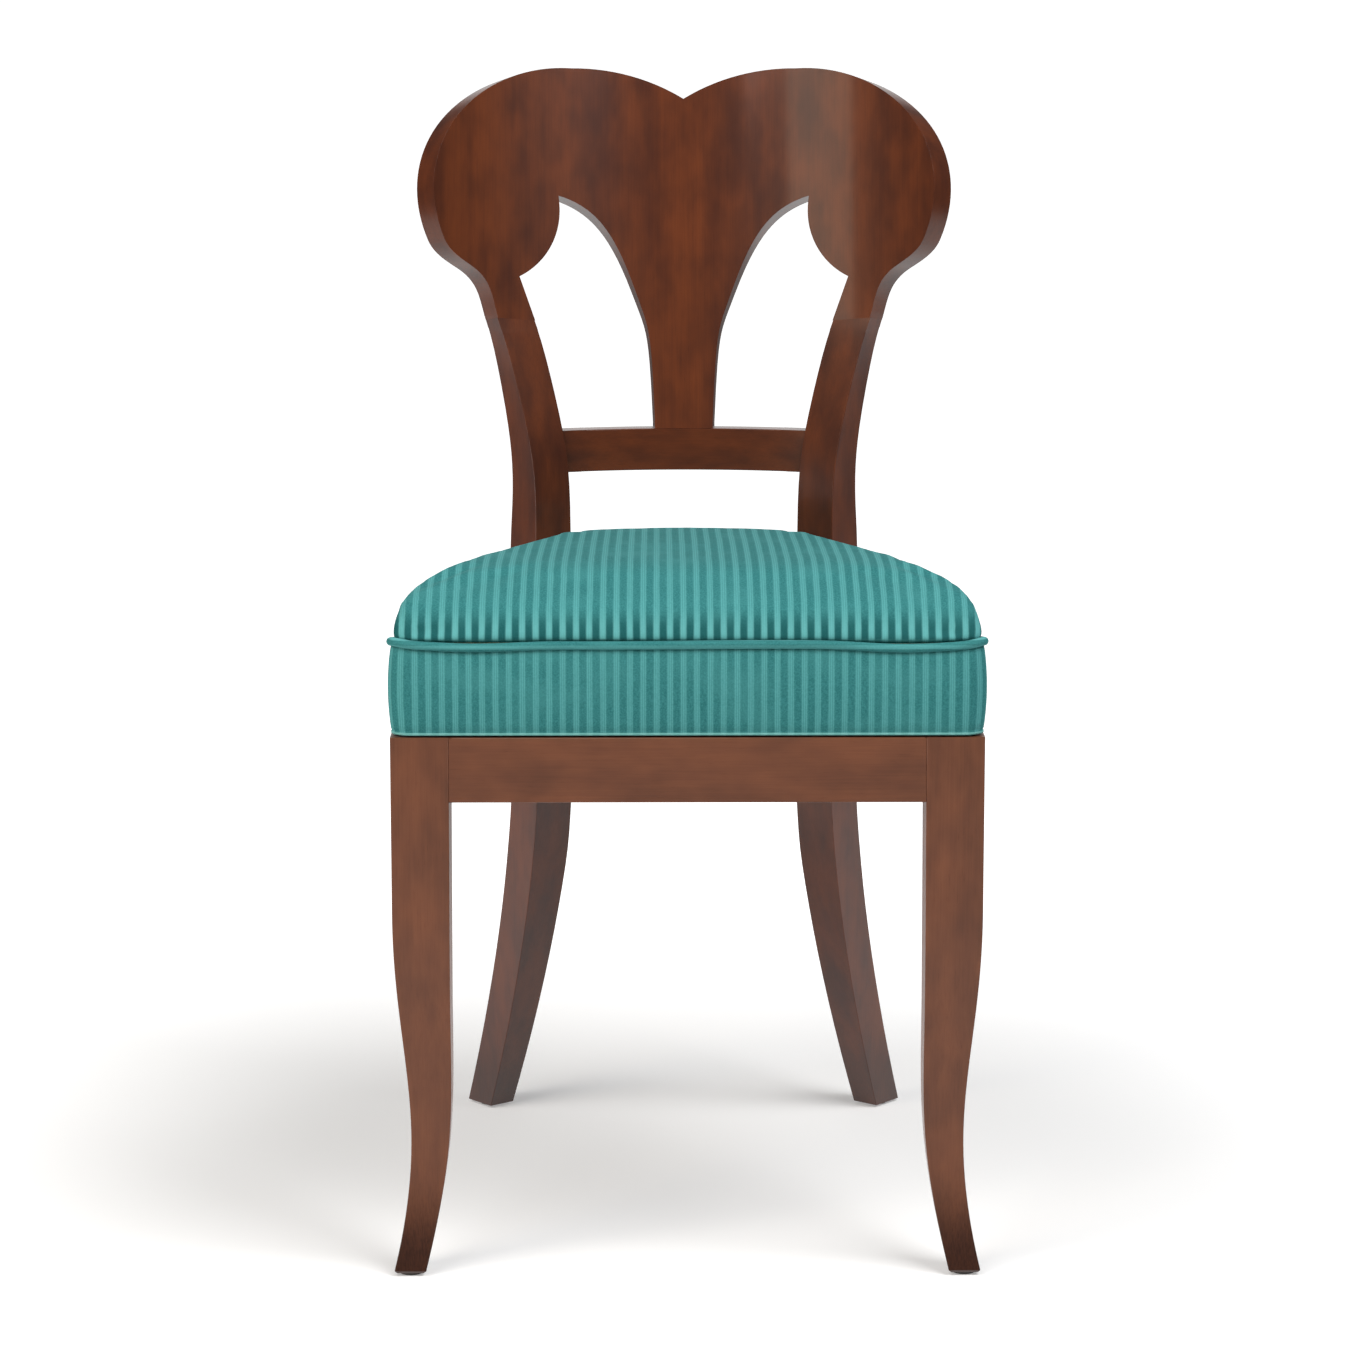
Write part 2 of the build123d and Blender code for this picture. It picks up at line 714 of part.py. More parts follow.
def build_chair():
    """Every piece by name, in the drawing frame."""
    leg_blank = make_front_leg()
    post_blank = make_back_leg()
    posts = [post_blank, right_of(post_blank)]

    front_rail = make_front_rail([leg_blank, right_of(leg_blank)])
    side_rail = make_side_rail(leg_blank, post_blank)
    back_rail = make_arc_rail(seat_rail_y, rail_top, rail_height, back_rail_tenon(), posts)
    lower_rail = make_arc_rail(lower_rail_y, lower_rail_top, lower_rail_height, lower_rail_tenon(), posts)
    lower_rail -= splat_tongue(fit)

    side_mortises = side_rail_tenons(fit)
    front_leg = cut_by(leg_blank, [front_rail_tenon(fit), side_mortises[0]])
    back_leg = cut_by(post_blank, [side_mortises[1], back_rail_tenon(fit), lower_rail_tenon(fit)])
    back_leg = cut_by(back_leg, panel_dowels(fit)[:2])
    panel = cut_by(make_back_panel() + splat_tongue(), panel_dowels(fit))

    neighbours = [leg_blank, post_blank, front_rail, side_rail, back_rail]
    holes = block_screws(fit) + seat_screws(fit)[:2]
    front_block = cut_by(plan_block(front_block_plan), neighbours + holes)
    back_block = cut_by(plan_block(back_block_plan), neighbours + holes)
    left_screws = block_screws()
    left_holes = block_screws(fit)
    both_holes = left_holes + [right_of(hole) for hole in left_holes]
    front_rail = cut_by(front_rail, both_holes)
    back_rail = cut_by(back_rail, both_holes)
    side_rail = cut_by(side_rail, left_holes)
    dust_cover = layer(seat_bottom, frame_bottom - frame_gap, lip_width + dust_gap)

    frame = {name: cut_by(member, seat_screws(fit)) for name, member in make_seat_frame().items()}
    tacks = webbing_tacks()
    frame = {name: cut_by(member, tacks) for name, member in frame.items()}
    lengthwise = [cut_by(strap, tacks) for strap in lengthwise_straps()]
    crosswise = [cut_by(strap, tacks) for strap in crosswise_straps()]

    pairs = {
        "front_leg": front_leg,
        "back_leg": back_leg,
        "side_seat_rail": side_rail,
        "front_corner_block": front_block,
        "back_corner_block": back_block,
    }
    pieces = {}
    for name, left in pairs.items():
        pieces[f"{name}_left"] = left
        pieces[f"{name}_right"] = right_of(left)
    pieces |= {
        "front_seat_rail": front_rail,
        "back_seat_rail": back_rail,
        "lower_back_rail": lower_rail,
        "back_panel": panel,
        "back_panel_dowels": panel_dowels(),
        "corner_block_screws": left_screws + [right_of(one) for one in left_screws],
        "seat_screws": seat_screws(),
        "seat_frame_front": frame["front"],
        "seat_frame_left": frame["left"],
        "seat_frame_right": frame["right"],
        "seat_frame_back": frame["back"],
        "webbing_lengthwise": lengthwise,
        "webbing_crosswise": crosswise,
        "webbing_tacks": tacks,
        "seat_hessian": layer(hessian_bottom, foam_bottom, padding + hessian_inset),
        "seat_foam": make_foam(),
        "seat_cover_top": make_cover_top(),
        "seat_cover_boxing": make_boxing(),
        "seat_piping": make_piping(),
        "seat_dust_cover": cut_by(dust_cover, seat_screws(fit)),
        "foot_glides": make_glides(),
    }
    return pieces


def as_one(piece):
    """A group of separate solids as one shape."""
    if isinstance(piece, list):
        return Compound([solid for shape in piece for solid in shape.solids()])
    return piece


os.makedirs("parts", exist_ok=True)
chair = {name: as_one(piece) for name, piece in build_chair().items()}
middle_y = Compound(list(chair.values())).bounding_box().center().Y
for name, piece in chair.items():
    export_step(Pos(0, -middle_y, 0) * piece, f"parts/{name}.step")
print("drawing frame moved back by", round(middle_y, 2))
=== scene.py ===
from math import copysign, cos, pi, radians, sin

import bmesh
import bpy
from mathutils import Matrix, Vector


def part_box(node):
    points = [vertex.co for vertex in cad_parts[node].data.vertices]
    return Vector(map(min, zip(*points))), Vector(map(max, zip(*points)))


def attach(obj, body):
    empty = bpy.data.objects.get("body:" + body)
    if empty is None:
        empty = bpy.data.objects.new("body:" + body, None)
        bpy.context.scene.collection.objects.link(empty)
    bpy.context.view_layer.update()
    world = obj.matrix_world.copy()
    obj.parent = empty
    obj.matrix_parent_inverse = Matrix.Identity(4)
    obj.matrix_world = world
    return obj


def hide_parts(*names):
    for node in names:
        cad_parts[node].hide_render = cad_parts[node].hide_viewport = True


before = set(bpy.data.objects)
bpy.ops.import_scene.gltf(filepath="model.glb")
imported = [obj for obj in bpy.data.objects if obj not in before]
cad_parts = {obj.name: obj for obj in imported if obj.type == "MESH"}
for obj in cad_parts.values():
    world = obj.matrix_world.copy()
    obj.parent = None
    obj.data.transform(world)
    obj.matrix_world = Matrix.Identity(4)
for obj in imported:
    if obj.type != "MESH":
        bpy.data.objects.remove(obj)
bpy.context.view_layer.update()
scene = bpy.context.scene


# Back panel
# Crest and splat are one curved board, faced with figured veneer whose bands run upright,
# stained red-brown, filled and polished to a high gloss, with its edges eased by sanding.
back_lean = 12
high_gloss = {"roughness": 0.36, "coat": 0.45, "coat_roughness": 0.12}
back_colours = ((0.052, 0.0135, 0.0065), (0.130, 0.0310, 0.0090), (0.018, 0.005, 0.002))
grain_marks = {                # length along the grain, width across it, and fineness
    "patch": (0.05, 0.022, 2.0),
    "band": (0.5, 0.03, 2.0),
    "streak": (0.4, 0.005, 3.0),
    "fibre": (0.05, 0.0011, 3.0),
    "pore": (0.012, 0.0006, 2.0),
}
painted_foot_shade_heights = (0.085, 0.015)     # heights where the painted shade on a foot starts and is darkest
same_place = 0.00002           # corners of the model's triangles this close are one corner
eased_angle = radians(40)      # sharper edges than this are eased
crease_angle = radians(18)     # sharper edges than this show as a crease
edge_ease = 0.0008
stub_inside = 0.1              # half the room between the stubs under the lobes
joint_clearance = 0.001
lower_rail_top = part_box("lower_back_rail")[1][2]
post_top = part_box("back_leg_left")[1][2]


def fill_sockets(node, sockets):
    """Gives the sockets of a node their values, or links them to shades."""
    for name, value in sockets.items():
        if isinstance(value, Shade):
            value.tree.links.new(value.socket, node.inputs[name])
        else:
            node.inputs[name].default_value = value


class Shade:
    """A socket of a material. Sums and products of shades add Math nodes."""

    def __init__(self, tree, socket=None):
        self.tree = tree
        self.socket = socket

    def node(self, kind, settings=None, sockets=None, output=0):
        """A node of a kind, with its settings and the values or links of its sockets."""
        made = self.tree.nodes.new("ShaderNode" + kind)
        for name, value in (settings or {}).items():
            setattr(made, name, value)
        fill_sockets(made, sockets or {})
        return Shade(self.tree, made.outputs[output])

    def math(self, operation, *values):
        return self.node("Math", {"operation": operation}, dict(enumerate((self, *values))))

    def __add__(self, other):
        return self.math("ADD", other)

    def __sub__(self, other):
        return self.math("SUBTRACT", other)

    def __mul__(self, other):
        return self.math("MULTIPLY", other)

    def __rsub__(self, other):
        return self * -1 + other

    __radd__ = __add__
    __rmul__ = __mul__

    def along(self, axis):
        """One coordinate of a place."""
        return self.node("SeparateXYZ", sockets={"Vector": self}, output=axis)

    def between(self, low, high):
        """0 below low, 1 above high, and smooth between; low may be the larger."""
        limits = {"Value": self, "From Min": low, "From Max": high}
        return self.node("MapRange", {"interpolation_type": "SMOOTHSTEP"}, limits)

    def colour(self, low, high):
        """From one colour to another as this shade goes from 0 to 1."""
        ends = [one if isinstance(one, Shade) else (*one, 1) for one in (low, high)]
        return self.node("Mix", {"data_type": "RGBA"}, {0: self, 6: ends[0], 7: ends[1]}, output=2)

    def noise(self, size, fineness=3.0):
        """Cloudy noise over a place, with patches of a size in metres along X, Y and Z."""
        scale = tuple(1 / one for one in size)
        stretched = self.node("Mapping", sockets={"Vector": self, "Scale": scale})
        sockets = {"Vector": stretched, "Scale": 1.0, "Detail": fineness, "Roughness": 0.55}
        return self.node("TexNoise", sockets=sockets)

    def bump(self, strength, distance):
        """A surface direction for this shade as a height."""
        sockets = {"Strength": strength, "Distance": distance, "Height": self}
        return self.node("Bump", sockets=sockets)


def new_finish(name):
    """A new material, its surface shader and the place on the object."""
    material = bpy.data.materials.new(name)
    material.use_nodes = True
    surface = material.node_tree.nodes["Principled BSDF"]
    place = Shade(material.node_tree).node("TexCoord", output="Object")
    return material, surface, place


def grain_size(axis, along, across):
    """Patch size of a grain that runs along X, Y or Z."""
    return tuple(along if one == axis else across for one in "XYZ")


def polished_wood(name, axis, colours, gloss, lean=0.0, foot_shade=0.0):
    """Stained and polished wood with its grain along an axis, which may lean back."""
    material, surface, place = new_finish(name)
    board = place.node("Mapping", sockets={"Vector": place, "Rotation": (radians(lean), 0, 0)})
    # the third colour is the dark of fibres and pores, and also of the painted shade on the feet
    deep, bright, dark_grain_and_shade = colours
    mark = {}
    for kind, (along, across, fineness) in grain_marks.items():
        mark[kind] = board.noise(grain_size(axis, along, across), fineness)
    fibre = mark["fibre"]
    pore = mark["pore"].between(0.62, 0.74)
    figure = (mark["patch"] * 0.55 + mark["band"] * 0.35 + mark["streak"] * 0.1).between(0.28, 0.72)
    darker = fibre.between(0.35, 0.7) * 0.14 + pore * 0.2
    # painted shade: below the given heights the feet are painted darker
    if foot_shade:
        darker = darker + place.along("Z").between(*painted_foot_shade_heights) * foot_shade
    fill_sockets(surface, {
        "Base Color": darker.colour(figure.colour(deep, bright), dark_grain_and_shade),
        "Roughness": fibre * 0.1 + (gloss["roughness"] - 0.05),
        "Specular IOR Level": 0.15,
        "Coat Weight": gloss["coat"] - pore * 0.15,
        "Coat Roughness": gloss["coat_roughness"],
        "Normal": (fibre - pore * 0.6).bump(0.2, 0.0001),
    })
    return material


def as_piece(mesh, name, finish):
    """A bmesh as a smooth object with one finish."""
    data = bpy.data.meshes.new(name)
    mesh.to_mesh(data)
    mesh.free()
    data.polygons.foreach_set("use_smooth", [True] * len(data.polygons))
    data.materials.append(finish)
    piece = bpy.data.objects.new(name, data)
    scene.collection.objects.link(piece)
    return piece


def eased_copy(name, finish, free_edge):
    """A wooden piece with its free edges rounded off a little; its joints stay tight."""
    mesh = bmesh.new()
    mesh.from_mesh(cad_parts[name].data)
    bmesh.ops.remove_doubles(mesh, verts=mesh.verts, dist=same_place)
    weight = mesh.edges.layers.float.new("bevel_weight_edge")
    for edge in mesh.edges:
        bend = edge.calc_face_angle() if edge.is_manifold else pi
        middle = (edge.verts[0].co + edge.verts[1].co) / 2
        eased = edge.is_manifold and bend > eased_angle and free_edge(middle)
        edge[weight] = 1.0 if eased else 0.0
        edge.smooth = bend < crease_angle
    piece = as_piece(mesh, f"polished_{name}", finish)
    piece.data.attributes.remove(piece.data.attributes["custom_normal"])
    rounding = piece.modifiers.new("eased edges", "BEVEL")
    rounding.limit_method = "WEIGHT"
    rounding.width = edge_ease
    rounding.segments = 2
    rounding.harden_normals = True
    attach(piece, "root")
    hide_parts(name)


def free_of_posts(at):
    """Above the posts at the sides, and above the lower rail in the middle."""
    return at.z > (post_top if abs(at.x) > stub_inside else lower_rail_top + joint_clearance)


panel_wood = polished_wood("panel_wood", "Z", back_colours, high_gloss, lean=back_lean)
eased_copy("back_panel", panel_wood, free_of_posts)


# Back legs and lower back rail
# Each back leg and its post are sawn from one plank; the rail between the posts is bent to
# the hollow of the back. All have the panel's stain, with the grain along the piece.
# painted shade darkens the feet of the back legs, less than those of the front legs
post_wood = polished_wood("post_wood", "Z", back_colours, high_gloss, foot_shade=0.5)
lower_rail_wood = polished_wood("lower_rail_wood", "X", back_colours, high_gloss)
post_joint = post_top - 0.012  # above this the post is jointed to the panel
lower_rail_half = 0.082        # half the length that is free of the posts
for side in ("left", "right"):
    eased_copy(f"back_leg_{side}", post_wood, lambda at: at.z < post_joint)
eased_copy("lower_back_rail", lower_rail_wood, lambda at: abs(at.x) < lower_rail_half)


# Front legs and seat rails
# Solid wood, browner and less glossy than the back, with the grain along each piece. The rails
# are tenoned into the legs under the seat, and the feet are painted darker with painted shade.
satin = {"roughness": 0.42, "coat": 0.3, "coat_roughness": 0.24}
leg_colours = ((0.098, 0.033, 0.0155), (0.174, 0.058, 0.0250), (0.026, 0.008, 0.004))
# painted shade darkens the feet of the front legs
leg_wood = polished_wood("leg_wood", "Z", leg_colours, satin, foot_shade=0.85)
rail_wood = polished_wood("rail_wood", "X", leg_colours, satin)
side_rail_wood = polished_wood("side_rail_wood", "Y", leg_colours, satin)
rail_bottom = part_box("front_seat_rail")[0][2]
leg_low, leg_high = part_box("front_leg_right")
corner_width = 0.004           # how near its outer faces an edge is the corner of a leg
seat_rail_half = 0.1           # the rails are eased this far from their middle, clear of the joints


def free_of_rails(at):
    """Below the seat rails, or at the outer front corner of a leg."""
    below = at.z < rail_bottom - joint_clearance
    outer = abs(at.x) > leg_high[0] - corner_width
    return below or outer and at.y < leg_low[1] + corner_width


def finish_node(name, material):
    """Gives a node of the frame its finish."""
    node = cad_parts[name]
    node.data.materials.clear()
    node.data.materials.append(material)


for side in ("left", "right"):
    eased_copy(f"front_leg_{side}", leg_wood, free_of_rails)
    eased_copy(f"side_seat_rail_{side}", side_rail_wood, lambda at: abs(at.y) < seat_rail_half)
eased_copy("front_seat_rail", rail_wood, lambda at: abs(at.x) < seat_rail_half)
finish_node("back_seat_rail", rail_wood)


# Corner blocks, dowels and loose seat frame
# Plain pale hardwood, sawn and sanded, with no stain or polish; only the dowels, which come
# near the surface of the posts, took the posts' stain.
bare_colours = ((0.40, 0.25, 0.13), (0.56, 0.38, 0.21))
bare_fibre = (0.26, 0.15, 0.07)


def bare_wood(name, axis):
    """Sawn wood with its grain along an axis."""
    material, surface, place = new_finish(name)
    streak = place.noise(grain_size(axis, 0.2, 0.006))
    fibre = place.noise(grain_size(axis, 0.02, 0.0007), 4.0)
    streaked = streak.between(0.35, 0.65).colour(*bare_colours)
    fill_sockets(surface, {
        "Base Color": (fibre.between(0.45, 0.75) * 0.35).colour(streaked, bare_fibre),
        "Roughness": fibre * 0.2 + 0.55,
        "Normal": fibre.bump(0.4, 0.0002),
    })
    return material


frame_wood_across = bare_wood("frame_wood_across", "X")
frame_wood_along = bare_wood("frame_wood_along", "Y")
for end in ("front", "back"):
    finish_node(f"seat_frame_{end}", frame_wood_across)
    for side in ("left", "right"):
        finish_node(f"{end}_corner_block_{side}", frame_wood_across)
for side in ("left", "right"):
    finish_node(f"seat_frame_{side}", frame_wood_along)
finish_node("back_panel_dowels", post_wood)


# Screws and tacks
# Plain steel with a dull zinc film, a little uneven. Screws hold the corner blocks and the
# loose seat, and tacks hold the ends of the webbing.
zinc_colours = ((0.42, 0.42, 0.43), (0.62, 0.62, 0.63))


def speckled(place, size):
    """Fine noise with grains of one size."""
    return place.noise((size, size, size), 4.0)


def plain_steel():
    material, surface, place = new_finish("plain_steel")
    film = speckled(place, 0.002)
    fill_sockets(surface, {
        "Base Color": film.colour(*zinc_colours),
        "Roughness": film * 0.25 + 0.25,
        "Metallic": 1.0,
    })
    return material


steel = plain_steel()
for name in ("corner_block_screws", "seat_screws", "webbing_tacks"):
    finish_node(name, steel)


# Webbing, hessian and foam
# Jute straps are woven over and under each other and tacked to the loose frame. Coarse hessian
# lies over them, and on it a slab of foam with a smaller pad for the crown.
jute_colours = ((0.26, 0.17, 0.08), (0.48, 0.35, 0.19))
jute_thread = 0.0018
hessian_colours = ((0.30, 0.20, 0.10), (0.52, 0.38, 0.21))
hessian_thread = 0.0011
foam_colours = ((0.55, 0.48, 0.30), (0.80, 0.73, 0.52))
foam_cells = 900.0             # to the metre


def woven_cloth(name, colours, thread):
    """Plain weave of a thread width: waves along X and Y that take turns on top."""
    material, surface, place = new_finish(name)
    warp = (place.along("X") * (pi / thread)).math("SINE")
    weft = (place.along("Y") * (pi / thread)).math("SINE")
    weave = (warp * weft) * 0.5 + 0.5
    fuzz = speckled(place, thread * 1.5)
    fill_sockets(surface, {
        "Base Color": (weave * 0.6 + fuzz * 0.4).colour(*colours),
        "Roughness": fuzz * 0.1 + 0.85,
        "Normal": weave.bump(0.6, thread * 0.3),
    })
    return material


def open_foam():
    material, surface, place = new_finish("open_foam")
    cells = place.node("TexVoronoi", sockets={"Vector": place, "Scale": foam_cells})
    fill_sockets(surface, {
        "Base Color": cells.between(0.0, 0.9).colour(*foam_colours),
        "Roughness": 0.95,
        "Normal": cells.bump(0.5, 0.0005),
    })
    return material


jute = woven_cloth("jute", jute_colours, jute_thread)
finish_node("webbing_lengthwise", jute)
finish_node("webbing_crosswise", jute)
finish_node("seat_hessian", woven_cloth("hessian", hessian_colours, hessian_thread))
finish_node("seat_foam", open_foam())


# Foot glides
# Dark plastic pads, one nailed under each foot so that the chair slides without
# marking the floor. They are dull and scuffed from use.
plastic_colours = ((0.018, 0.014, 0.012), (0.045, 0.038, 0.032))


def dull_plastic():
    material, surface, place = new_finish("dull_plastic")
    scuff = speckled(place, 0.003)
    fill_sockets(surface, {
        "Base Color": scuff.colour(*plastic_colours),
        "Roughness": scuff * 0.3 + 0.45,
    })
    return material


finish_node("foot_glides", dull_plastic())


# Seat cover, side band
# Striped velvet sewn round the seat as a boxing, drawn down over the frame to a rolled hem
# on the rails. Cut-pile stripes stand on a flatter, paler ground and run up and down.
stripe_pitch = 0.0099
stripe_waver = 0.0012
rib_pitch = 0.00165
ground_colours = ((0.055, 0.242, 0.244), (0.096, 0.346, 0.350))
# painted sheen: the ground's colour on the steep fall of the dome just above the seam
ground_painted_sheen = (0.135, 0.430, 0.430)
ground_hem = (0.16, 0.40, 0.38)
pile_colours = ((0.022, 0.138, 0.141), (0.044, 0.214, 0.218))
pile_bloom = (0.058, 0.245, 0.245)
# painted shade: the pile's colour on the steep fall of the dome just above the seam
pile_painted_shade = (0.006, 0.068, 0.070)
pile_hem = (0.13, 0.36, 0.34)
sheen_band_low = (0.484, 0.487)      # over these heights above the piping the stripes get painted sheen and shade
sheen_band_high = (0.510, 0.492)
boxing_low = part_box("seat_cover_boxing")[0]
piping_low, piping_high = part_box("seat_piping")
boxing_bulge = 0.003
seat_front = boxing_low[1] + boxing_bulge
seat_front_half = 0.2232       # half width at the front corners
seat_side = Vector((0.1229, 0.13805, 0))
seat_back_point = 0.24118      # where the slanted back edges would meet
front_rounding = 0.0195        # how far each corner is cut back before it is rounded
side_rounding = 0.005
back_rounding = 0.1197
outline_step = 0.008           # longest step between points round the seat
piping_height = (piping_low[2] + piping_high[2]) / 2
piping_radius = 0.0033
hem_gap = 0.0012               # over the wooden rails
hem_height = 0.0026
hem_swell = 0.0009
hem_roll = ((0, -hem_swell), (0.2, hem_swell), (0.7, hem_swell), (1, 0))
boxing_bottom = boxing_low[2] + hem_gap
boxing_top = piping_height - piping_radius * 0.5
boxing_start = 1.6 * hem_height / (boxing_top - boxing_bottom)
boxing_steps = 12
corner_lift = 0.0035           # of the seam at the tips of the front corners
corner_tip = 0.03
corner_sag = 0.0022            # of the seam beside them
corner_reach = 0.13


def striped_velvet(name, across_cloth, hem=False):
    """Velvet with cut-pile stripes, counted by a coordinate across the cloth."""
    material, ground, place = new_finish(name)
    across = across_cloth(place)
    height = place.along("Z")
    waver = place.noise((0.02, 0.02, 0.05), 2.0) * stripe_waver
    wave = ((across + waver) * (2 * pi / stripe_pitch)).math("SINE")
    pile = wave.between(-0.75, 0.45)
    rib = (across * (2 * pi / rib_pitch)).math("SINE") * 0.5 + 0.5
    speckle = place.noise((0.0012, 0.0012, 0.0012))
    bloom = place.noise((0.05, 0.05, 0.03))
    # painted sheen and shade: where the dome falls steeply to the seam, the ground is painted paler and
    # the pile darker
    seam_sheen_and_shade = height.between(*sheen_band_low) * height.between(*sheen_band_high)
    threads = (rib * 0.35 + speckle * 0.65).between(0.2, 0.9)
    ground_colour = threads.colour(*ground_colours)
    ground_colour = (seam_sheen_and_shade * 0.5).colour(ground_colour, ground_painted_sheen)
    pile_colour = speckle.between(0.25, 0.75).colour(*pile_colours)
    pile_colour = (bloom.between(0.45, 0.7) * 0.45).colour(pile_colour, pile_bloom)
    pile_colour = (seam_sheen_and_shade * 0.75).colour(pile_colour, pile_painted_shade)
    if hem:
        rolled = height.between(boxing_bottom + hem_height, boxing_bottom + hem_height * 0.7)
        ground_colour = rolled.colour(ground_colour, ground_hem)
        pile_colour = rolled.colour(pile_colour, pile_hem)
    relief = (pile * 0.6 + rib * 0.12 + speckle * 0.28).bump(0.5, 0.0006)
    fill_sockets(ground, {
        "Base Color": ground_colour,
        "Roughness": 0.8,
        "Specular IOR Level": 0.08,
        "Sheen Weight": 0.03,
        "Normal": relief,
    })
    tufts = place.node("BsdfPrincipled", sockets={
        "Base Color": pile_colour,
        "Roughness": 0.9,
        "Specular IOR Level": 0.05,
        "Sheen Weight": 0.12,
        "Sheen Roughness": 0.35,
        "Sheen Tint": (0.5, 0.9, 0.9, 1),
        "Normal": relief,
    })
    flat_weave = Shade(material.node_tree, ground.outputs[0])
    cloth = place.node("MixShader", sockets={0: pile, 1: flat_weave, 2: tufts})
    fill_sockets(material.node_tree.nodes["Material Output"], {"Surface": cloth})
    return material


def seat_outline():
    """Points round the seat in plan: five corners, then their rounding, then even steps."""
    mesh = bmesh.new()
    corners = [
        (-seat_front_half, seat_front),
        (seat_front_half, seat_front),
        (seat_side.x, seat_side.y),
        (0, seat_back_point),
        (-seat_side.x, seat_side.y),
    ]
    points = [mesh.verts.new((x, y, 0)) for x, y in corners]
    mesh.faces.new(points)
    roundings = [
        (points[:2], front_rounding, 8),
        ([points[2], points[4]], side_rounding, 4),
        ([points[3]], back_rounding, 24),
    ]
    for rounded, cut_back, segments in roundings:
        bmesh.ops.bevel(mesh, geom=rounded, offset=cut_back, offset_type="OFFSET", affect="VERTICES",
                        segments=segments, profile=0.5, material=-1)
    while max(edge.calc_length() for edge in mesh.edges) > outline_step:
        long_edges = [edge for edge in mesh.edges if edge.calc_length() > outline_step]
        bmesh.ops.subdivide_edges(mesh, edges=long_edges, cuts=1)
    mesh.faces.ensure_lookup_table()
    round_seat = [point.co.copy() for point in mesh.faces[0].verts]
    mesh.free()
    return round_seat


outline = seat_outline()


def outward(i):
    """Direction out of the seat at a point of its outline, which runs anticlockwise."""
    step = outline[(i + 1) % len(outline)] - outline[i - 1]
    return Vector((step.y, -step.x, 0)).normalized()


def seam_stray(point):
    """How far the seam strays from its mean height: up at the front corners, down beside them."""
    corner = Vector((copysign(seat_front_half, point.x), seat_front, 0))
    away = (point.xy - corner.xy).length
    tip = max(0, 1 - away / corner_tip) ** 2
    beside = sin(pi * min(1, away / corner_reach)) ** 2
    return corner_lift * tip - corner_sag * beside


def hem_ring(share, swell):
    """The rolled hem at a share of its height."""
    raised = Vector((0, 0, boxing_bottom + hem_height * share))
    return [point + outward(i) * swell + raised for i, point in enumerate(outline)]


def boxing_ring(share):
    """The band at a share of its height: it swells at half height and tucks in under the piping."""
    swell = boxing_bulge * sin(pi * share) ** 0.7
    ring = []
    for i, point in enumerate(outline):
        height = boxing_bottom + share * (boxing_top + seam_stray(point) - boxing_bottom)
        ring.append(point + outward(i) * swell + Vector((0, 0, height)))
    return ring


def stack(rings):
    """A closed bmesh: a face on the lowest ring of points, extruded from ring to ring."""
    mesh = bmesh.new()
    lid = mesh.faces.new([mesh.verts.new(point) for point in rings[0]])
    for ring in rings[1:]:
        raised = bmesh.ops.extrude_face_region(mesh, geom=[lid, *lid.edges, *lid.verts])["geom"]
        lid = next(one for one in raised if isinstance(one, bmesh.types.BMFace))
        for corner, point in zip(lid.verts, ring):
            corner.co = point
    mesh.verts.index_update()
    return mesh


def measure_round(mesh):
    """Stores how far round the seat a stack's sides are, from the middle of the front."""
    walked = [0.0]
    for i in range(len(outline)):
        walked.append(walked[-1] + (outline[i] - outline[i - 1]).length)
    front = min(range(len(outline)), key=lambda i: (round(outline[i].y, 4), abs(outline[i].x)))
    last = len(outline) - 1
    layer = mesh.loops.layers.uv.new("UVMap")
    for face in [face for face in mesh.faces if len(face.verts) == 4]:
        numbers = [loop.vert.index % len(outline) for loop in face.loops]
        closes_round = 0 in numbers and last in numbers
        for loop, number in zip(face.loops, numbers):
            spot = 0 if closes_round and number == last else number + 1
            loop[layer].uv = (walked[spot] - walked[front + 1], loop.vert.co.z)


def sewn_piece(mesh, name, cloth):
    """A bmesh of cloth as a piece, with its faces turned outwards."""
    bmesh.ops.recalc_face_normals(mesh, faces=mesh.faces)
    return as_piece(mesh, name, cloth)


def along_boxing(place):
    return place.node("UVMap").along("X")


def make_boxing():
    rings = [hem_ring(share, swell) for share, swell in hem_roll]
    for step in range(boxing_steps + 1):
        rings.append(boxing_ring(boxing_start + (1 - boxing_start) * step / boxing_steps))
    mesh = stack(rings)
    measure_round(mesh)
    return sewn_piece(mesh, "seat_boxing", striped_velvet("velvet_boxing", along_boxing, hem=True))


boxing = make_boxing()
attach(boxing, "root")
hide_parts("seat_cover_boxing")


# Seat cover, top
# The same velvet over wadding and foam: a full dome that falls a little towards the back and
# is sewn to the piping all round. The stripes run from front to back.
seat_middle = Vector((0, -0.05, 0))
seat_back = max(point.y for point in outline)
crown_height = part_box("seat_cover_top")[1][2]
crown_base = piping_height + piping_radius * 0.4
crown_slack = 0.0022           # the dome starts this much low, and the stuffing fills it out
crown_rise = crown_height - crown_slack - crown_base
crown_side_reach = 0.28        # how much of the half width and half depth the curve takes up
crown_end_reach = 0.7
crown_share = 0.97             # of the rise is reached where the curve ends
crown_power = 2.9
crown_tilt = 2.2
crown_steps = 18
crown_crowding = 1.8           # steps lie closer at the sewn edge
cap_sizes = (0.7, 0.4, 0.1)
sewn_height = 0.003
cloth_voxel = 0.005
cloth_frames = 20
cloth_pressure = 4.0
cloth_travel = 0.004
fall_slack = 0.004             # falls up to this much are left out when stripes are counted
corner_ease = 0.09             # behind the front edge the fall comes into the count over this length
corner_ease_power = 1.5


def dome_share(step):
    """Share of the rise that is reached at a step in from the edge."""
    return crown_share * (1 - (1 - step) ** crown_power) ** (1 / crown_power)


def ridge_height(y):
    """Height of the dome along its centre line."""
    end = seat_front if y < seat_middle.y else seat_back
    step = (1 - (y - seat_middle.y) / (end - seat_middle.y)) / crown_end_reach
    share = dome_share(min(1, max(0, step)))
    return crown_base + crown_rise * share - (y - seat_middle.y) * sin(radians(crown_tilt * share))


